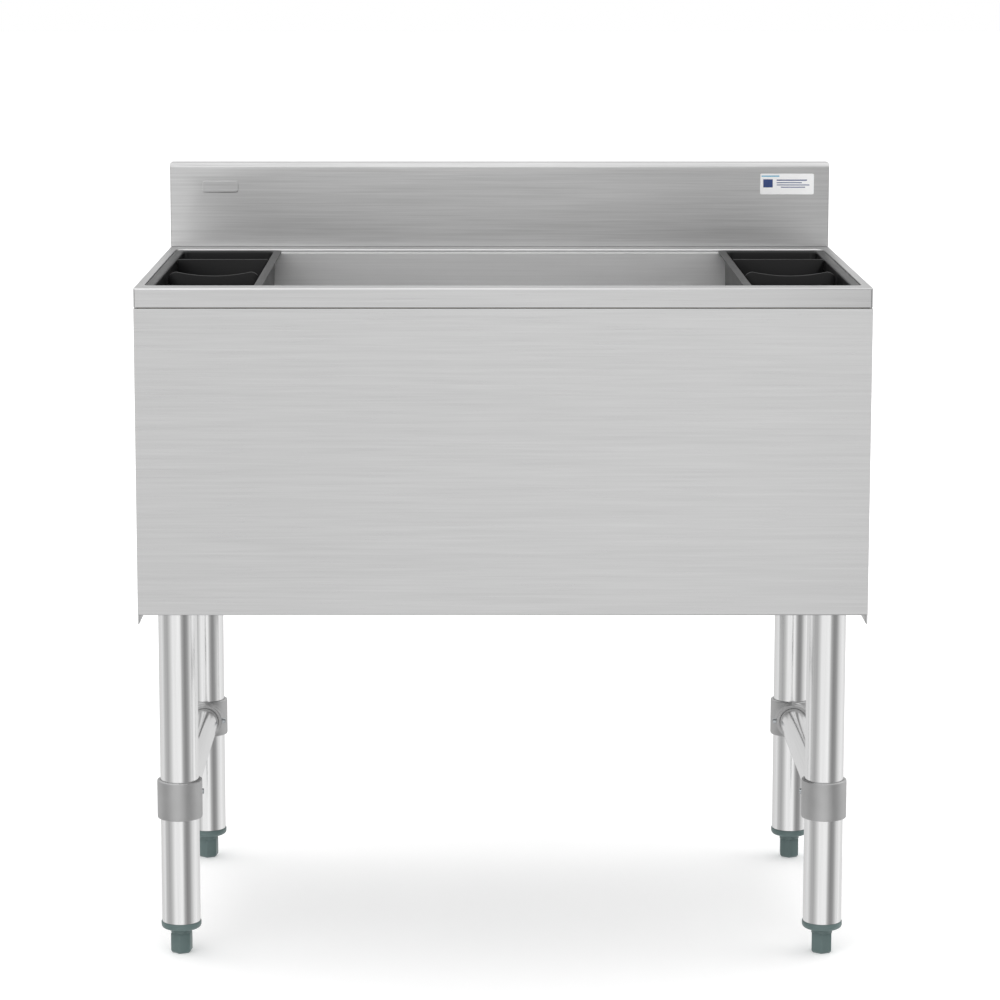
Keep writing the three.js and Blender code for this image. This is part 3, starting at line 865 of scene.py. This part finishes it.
def cut_divider(hand, kind, foot_share, corner, steps):
    """A plate that stands in the tub, narrower at its foot, as the tub is."""
    x, y, z = span(f"{kind}_divider_{hand}")
    plate = block(f"{kind}_plate_{hand}", x, y, z)
    edit(plate)
    pick(plate, "VERT", lambda p: near(p.z, z[0]))
    resize(foot_share, 1, 1, (middle(x), middle(y), z[0]))
    bend(plate, corner, steps, lambda a, b: edge_at(a, b, z=z[1]) and not near(a.y, b.y))
    leave()
    if kind == "saddle":
        # Its top edge dips to an arc that is this deep, and reaches this far to each side
        dip, reach = 4.3, 40
        radius = (reach * reach + dip * dip) / (2 * dip)
        above = z[1] - dip + radius
        cut(plate, rod("dip", radius, middle(x), (y[0] - 5, y[1] + 5), above, 360))
    soften(plate, 0.6, segments=3)
    hand_over(plate, f"{kind}_divider_{hand}", "black_plastic", BLACK_ABS, f"{kind}_divider_{hand}")


for hand in HANDS:
    mould_tub(hand)
    cut_divider(hand, "straight", 0.9454, 1.5, 3)
    cut_divider(hand, "saddle", 0.965, 9, 8)


# ---------------------------------------------------------------- drain, underside and label


def build_drain():
    """A flanged drain body with its nut, gasket and tailpiece, and a perforated disc that lifts off."""
    x, y, z = span("drain_flange")
    cx, cy = middle(x), middle(y)
    bore, body, brim = 19, 24, 38
    seat, top = z[1] - 1.6, z[1]
    flange = turned(
        "drain_body",
        cx,
        cy,
        [
            (bore, z[0]),
            (body, z[0]),
            (body, seat),
            (37.4, seat),
            (brim, seat + 0.3),
            (37.6, seat + 1.0),
            (36.4, top),
            (21, top),
            (19.6, top - 0.5),
            (bore, top - 1.6),
            (bore, z[0]),
        ],
        96,
    )
    hand_over(flange, "cabinet", "polished_steel", DRAIN_STEEL, "drain_flange")

    gasket = tube("drain_washer", 34, 9.7, cx, cy, span("drain_gasket")[2])
    soften(gasket, 0.4)
    hand_over(gasket, "cabinet", "rubber", RUBBER, "drain_gasket")

    low, high = span("drain_nut")[2]
    hexagon, chamfer = 35, 1.2
    profile = [
        (hexagon - 1.4, low),
        (hexagon, low + chamfer),
        (hexagon, high - chamfer),
        (hexagon - 1.4, high),
    ]
    nut = turned("drain_back_nut", cx, cy, profile, 6)
    cut(nut, rod("bore", body + 0.3, cx, cy, (low - 2, high + 2)))
    hand_over(nut, "cabinet", "zinc", ZINC, "drain_nut")

    pipe = tube("drain_tail_tube", 18.6, SHEET, cx, cy, span("drain_tailpiece")[2])
    soften(pipe, 0.3, angle=60)
    hand_over(pipe, "cabinet", "polished_steel", DRAIN_STEEL, "drain_tailpiece")

    low, high = span("drain_strainer")[2]
    under = high - 1.5
    spigot, spigot_bore, edge, middle_hole = 18.5, 17.3, 33, 3
    disc = turned(
        "strainer_disc",
        cx,
        cy,
        [
            (spigot_bore, low),
            (spigot, low),
            (spigot, under),
            (32.5, under),
            (edge, high - 1.1),
            (32.8, high - 0.4),
            (32, high),
            (middle_hole, high),
            (middle_hole, under),
            (spigot_bore, under),
            (spigot_bore, low),
        ],
        96,
    )
    # Rings of holes, each turned a little so that no hole's corner lies on a line of the disc's mesh
    for ring, count in ((8, 6), (14.3, 10), (26, 16)):
        for i in range(count):
            angle = 2 * math.pi * (i + 0.3) / count
            hole_x, hole_y = cx + ring * math.cos(angle), cy + ring * math.sin(angle)
            cut(disc, rod("hole", 2.5, hole_x, hole_y, (high - 4, high + 3), 16))
    hand_over(disc, "drain_strainer", "polished_steel", DRAIN_STEEL, "drain_strainer")


def fold_channel(hand):
    """A channel under the cabinet that carries the sockets of one side."""
    x, y, z = span(f"under_channel_{hand}")
    channel = block(f"leg_channel_{hand}", x, y, z)
    edit(channel)
    pick(channel, "FACE", lambda c, n: n.z < -0.5 or abs(n.y) > 0.5)
    bpy.ops.mesh.delete(type="FACE")
    bend(channel, 2.4, 4, lambda a, b: edge_at(a, b, z=z[1]) and not near(a.y, b.y))
    leave()
    thicken(channel, 1.4)
    hand_over(channel, "cabinet", "dull_steel", MILL_STEEL, f"under_channel_{hand}")


build_drain()
for hand in HANDS:
    fold_channel(hand)

for node, slot, material in (
    ("back_panel", "dull_steel", MILL_STEEL),
    ("bottom_panel", "dull_steel", MILL_STEEL),
    ("foam_tub", "rigid_foam", FOAM),
):
    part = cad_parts[node]
    part.data.materials.clear()
    part.data.materials.append(material)


def print_label():
    """A vinyl label on the backsplash: white, with a plain printed square, stripes and strip."""
    x, _, z = span("label")
    label = block("vinyl_label", x, (SPLASH_FACE - 0.35, SPLASH_FACE - 0.02), z)
    edit(label)
    bend(label, 1.5, 4, lambda a, b: not near(a.y, b.y))
    leave()
    hand_over(label, "cabinet", "label", VINYL, "label")
    left, right, top = x[0], x[1], z[1]
    strip = (left + 1.5, left + 22, top - 3.6, top - 2.2)
    square = (left + 3.5, left + 14.5, top - 16, top - 6.5)
    stripes = [
        (left + 19, right - 8, top - 8.2, top - 6.9),
        (left + 19, right - 14, top - 11.0, top - 10.0),
        (left + 19, right - 5, top - 13.6, top - 12.6),
        (left + 24, right - 10, top - 16.2, top - 15.2),
    ]
    prints = ((PALE_INK, [strip]), (INK, [square, *stripes]))
    edit(label)
    for ink, patches in prints:
        label.data.materials.append(ink)
        for x0, x1, z0, z1 in patches:
            for place in ((x0, 0, 0), (x1, 0, 0), (0, 0, z0), (0, 0, z1)):
                pick(label, "FACE", lambda c, n: n.y < -0.5)
                normal = (0, 0, 1) if place[2] else (1, 0, 0)
                bpy.ops.mesh.bisect(plane_co=[v * MM for v in place], plane_no=normal)

    def printed(c, patches):
        return any(x0 < c.x < x1 and z0 < c.z < z1 for x0, x1, z0, z1 in patches)

    for number, (_, patches) in enumerate(prints, 1):
        pick(label, "FACE", lambda c, n: n.y < -0.5 and printed(c, patches))
        label.active_material_index = number
        bpy.ops.object.material_slot_assign()
    leave()


print_label()


# ---------------------------------------------------------------- studio


# Brightness of the studio walls by compass angle: 0 is the front, and the right is positive
WALLS = (
    (-180, 0.70),
    (-130, 0.80),
    (-104, 0.90),
    (-84, 0.55),
    (-62, 0.46),
    (-44, 0.70),
    (-28, 1.02),
    (-10, 0.98),
    (10, 1.08),
    (17, 0.98),
    (26, 0.50),
    (42, 0.28),
    (60, 0.36),
    (80, 0.78),
    (104, 1.02),
    (136, 0.86),
    (180, 0.70),
)


def stand(name, thing, place):
    """Puts a light or a camera in the studio."""
    stood = bpy.data.objects.new(name, thing)
    stood.location = place
    bpy.context.scene.collection.objects.link(stood)
    return stood


def lay_floor():
    bpy.ops.object.select_all(action="DESELECT")
    bpy.ops.mesh.primitive_plane_add(size=60, location=(0, 0, 0))
    floor = bpy.context.object
    floor.name = "studio_floor"
    floor.visible_glossy = False
    # Matt white paper on a light table, whose own glow keeps the shadow pale
    paper = grained("lit_white_paper", "#f4f4f4", "#f6f6f6", 0.9, 3.0, 0.02, Emission_Strength=0.22)
    floor.data.materials.append(paper)


def paint_walls():
    """Grey walls for the steel to reflect, and plain white behind the bin."""
    world = bpy.data.worlds.new("studio")
    bpy.context.scene.world = world
    world.use_nodes = True
    tree = world.node_tree
    direction = add(tree, "ShaderNodeTexCoord").outputs["Generated"]
    parts = add(tree, "ShaderNodeSeparateXYZ", {"Vector": direction}).outputs
    forward = add(tree, "ShaderNodeMath", {0: parts["Y"], 1: -1.0}, operation="MULTIPLY")
    around = add(tree, "ShaderNodeMath", {0: parts["X"], 1: forward.outputs[0]}, operation="ARCTAN2")
    share = add(
        tree,
        "ShaderNodeMapRange",
        {"Value": around.outputs[0], "From Min": -math.pi, "From Max": math.pi},
    )
    ramp = add(tree, "ShaderNodeValToRGB", {"Fac": share.outputs[0]})
    stops = ramp.color_ramp.elements
    while len(stops) < len(WALLS):
        stops.new(0.5)
    for stop, (angle, grey) in zip(stops, WALLS):
        stop.position = (angle + 180) / 360
        stop.color = (grey, grey, grey, 1)
    seen = add(tree, "ShaderNodeLightPath").outputs["Is Camera Ray"]
    white = (1, 1, 1, 1)
    shown = add(
        tree,
        "ShaderNodeMix",
        {0: seen, 6: ramp.outputs["Color"], 7: white},
        data_type="RGBA",
    )
    tree.links.new(shown.outputs[2], tree.nodes["Background"].inputs["Color"])


def light_studio():
    """A weak soft box at the front left, and an even, very soft light from the whole ceiling."""
    softbox = bpy.data.lights.new("key", "AREA")
    softbox.shape = "RECTANGLE"
    softbox.size, softbox.size_y = 2.4, 1.6
    softbox.energy = 8
    key = stand("key", softbox, (-2.2, -2.4, 2.8))
    aim = key.location * -1
    aim.z += 0.5
    key.rotation_euler = aim.to_track_quat("-Z", "Y").to_euler()
    key.visible_camera = False
    ceiling = bpy.data.lights.new("ceiling", "SUN")
    ceiling.energy = 1.35
    ceiling.angle = math.radians(110)
    stand("ceiling", ceiling, (0, 0, 3))


def set_camera():
    """A long lens a little above the bin, tilted a little down."""
    camera = bpy.data.cameras.new("camera")
    camera.sensor_width = 36
    camera.lens = 124.9
    camera.shift_x, camera.shift_y = 0.029, -0.05
    camera.clip_end = 100
    tilt = 8.73
    eye = stand("camera", camera, (-0.0331, -3.7955, 1.1043))
    eye.rotation_euler = (math.radians(90 - tilt), 0, 0)
    bpy.context.scene.camera = eye
    bpy.context.scene.view_settings.view_transform = "Standard"


lay_floor()
paint_walls()
light_studio()
set_camera()
